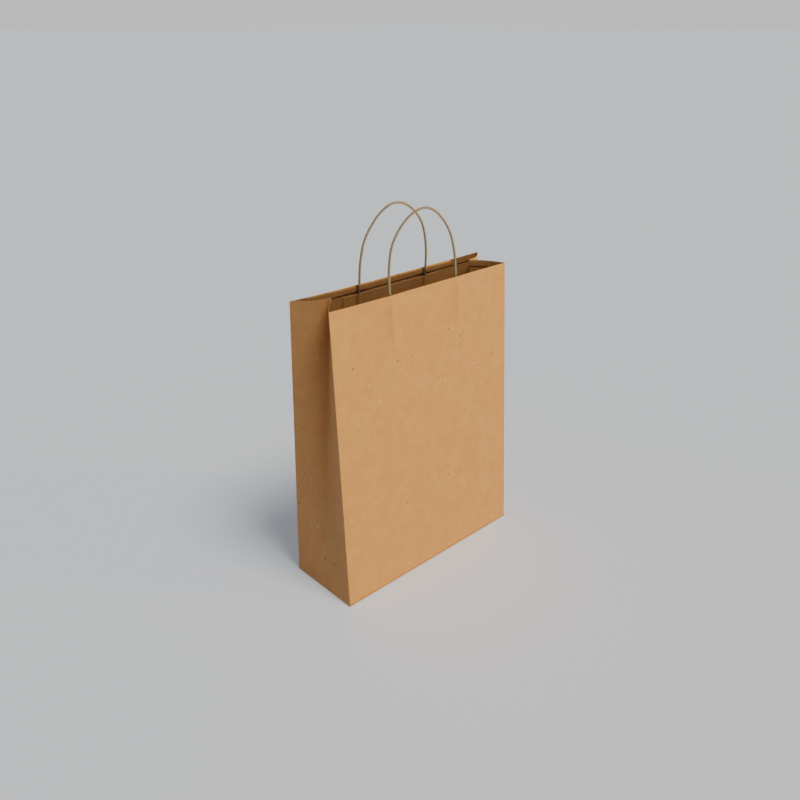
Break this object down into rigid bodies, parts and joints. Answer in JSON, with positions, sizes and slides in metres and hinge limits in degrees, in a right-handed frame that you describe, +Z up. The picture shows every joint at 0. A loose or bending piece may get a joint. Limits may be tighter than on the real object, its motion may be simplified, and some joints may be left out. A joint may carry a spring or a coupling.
{
  "type": "gift bag",
  "caption": "Plain kraft paper gift bag with tucked side gussets, a folded block bottom and twisted paper cord handles.",
  "frame": {"origin": "middle of the bag's bottom, on the surface it stands on", "axes": "+Z up towards the mouth, -Y out of the front wall, X across the walls"},
  "size_m": [0.32, 0.115, 0.508],
  "materials": {
    "kraft_paper": "matte, machine-glazed kraft",
    "folded_edge": "matte kraft, folded and glued",
    "patch_paper": "matte kraft strip",
    "twisted_cord": "tightly twisted paper cord"
  },
  "bodies": {
    "base": {"bottom_front_flap": "kraft_paper", "bottom_back_flap": "kraft_paper", "bottom_left_flap": "kraft_paper", "bottom_right_flap": "kraft_paper"},
    "front_wall": {"front_panel": "kraft_paper", "front_hem": "folded_edge", "front_handle_patch": "patch_paper", "front_patch_cover": "patch_paper", "front_handle_left_leg": "twisted_cord", "front_handle_right_leg": "twisted_cord"},
    "back_wall": {"back_panel": "kraft_paper", "back_hem": "folded_edge", "back_handle_patch": "patch_paper", "back_patch_cover": "patch_paper", "back_handle_left_leg": "twisted_cord", "back_handle_right_leg": "twisted_cord", "side_seam": "folded_edge"},
    "left_gusset_fold_front": {"left_gusset_front": "kraft_paper"},
    "left_gusset_fold_rear": {"left_gusset_rear": "kraft_paper"},
    "right_gusset_fold_front": {"right_gusset_front": "kraft_paper"},
    "right_gusset_fold_rear": {"right_gusset_rear": "kraft_paper"},
    "front_handle": {"front_handle_loop": "twisted_cord"},
    "back_handle": {"back_handle_loop": "twisted_cord"}
  },
  "joints": [
    {"name": "front_wall_open", "type": "hinge", "parent": "base", "child": "front_wall", "pos_m": [0, -0.0575, 0], "axis": [1, 0, 0], "range_deg": [0, 3]},
    {"name": "back_wall_open", "type": "hinge", "parent": "base", "child": "back_wall", "pos_m": [0, 0.0575, 0], "axis": [-1, 0, 0], "range_deg": [0, 3]},
    {"name": "left_gusset_front_fold", "type": "hinge", "parent": "front_wall", "child": "left_gusset_fold_front", "pos_m": [-0.16, -0.0575, 0], "axis": [-0.6637, -0.748, 0], "range_deg": [0, 4.52], "deforming": ["left_gusset_front"]},
    {"name": "left_gusset_rear_fold", "type": "hinge", "parent": "back_wall", "child": "left_gusset_fold_rear", "pos_m": [-0.16, 0.0575, 0], "axis": [0.6637, -0.748, 0], "range_deg": [0, 4.52], "deforming": ["left_gusset_rear"]},
    {"name": "right_gusset_front_fold", "type": "hinge", "parent": "front_wall", "child": "right_gusset_fold_front", "pos_m": [0.16, -0.0575, 0], "axis": [-0.6637, 0.748, 0], "range_deg": [0, 4.52], "deforming": ["right_gusset_front"]},
    {"name": "right_gusset_rear_fold", "type": "hinge", "parent": "back_wall", "child": "right_gusset_fold_rear", "pos_m": [0.16, 0.0575, 0], "axis": [0.6637, 0.748, 0], "range_deg": [0, 4.52], "deforming": ["right_gusset_rear"]},
    {"name": "front_handle_swing", "type": "hinge", "parent": "front_wall", "child": "front_handle", "pos_m": [0, -0.02794, 0.41145], "axis": [1, 0, 0], "range_deg": [-11, 75]},
    {"name": "back_handle_swing", "type": "hinge", "parent": "back_wall", "child": "back_handle", "pos_m": [0, 0.02794, 0.41145], "axis": [-1, 0, 0], "range_deg": [-11, 75]}
  ],
  "couplings": [
    {"joint": "back_wall_open", "follows": "front_wall_open", "ratio": 1},
    {"joint": "left_gusset_front_fold", "follows": "front_wall_open", "ratio": 1.5067},
    {"joint": "left_gusset_rear_fold", "follows": "front_wall_open", "ratio": 1.5067},
    {"joint": "right_gusset_front_fold", "follows": "front_wall_open", "ratio": 1.5067},
    {"joint": "right_gusset_rear_fold", "follows": "front_wall_open", "ratio": 1.5067}
  ]
}
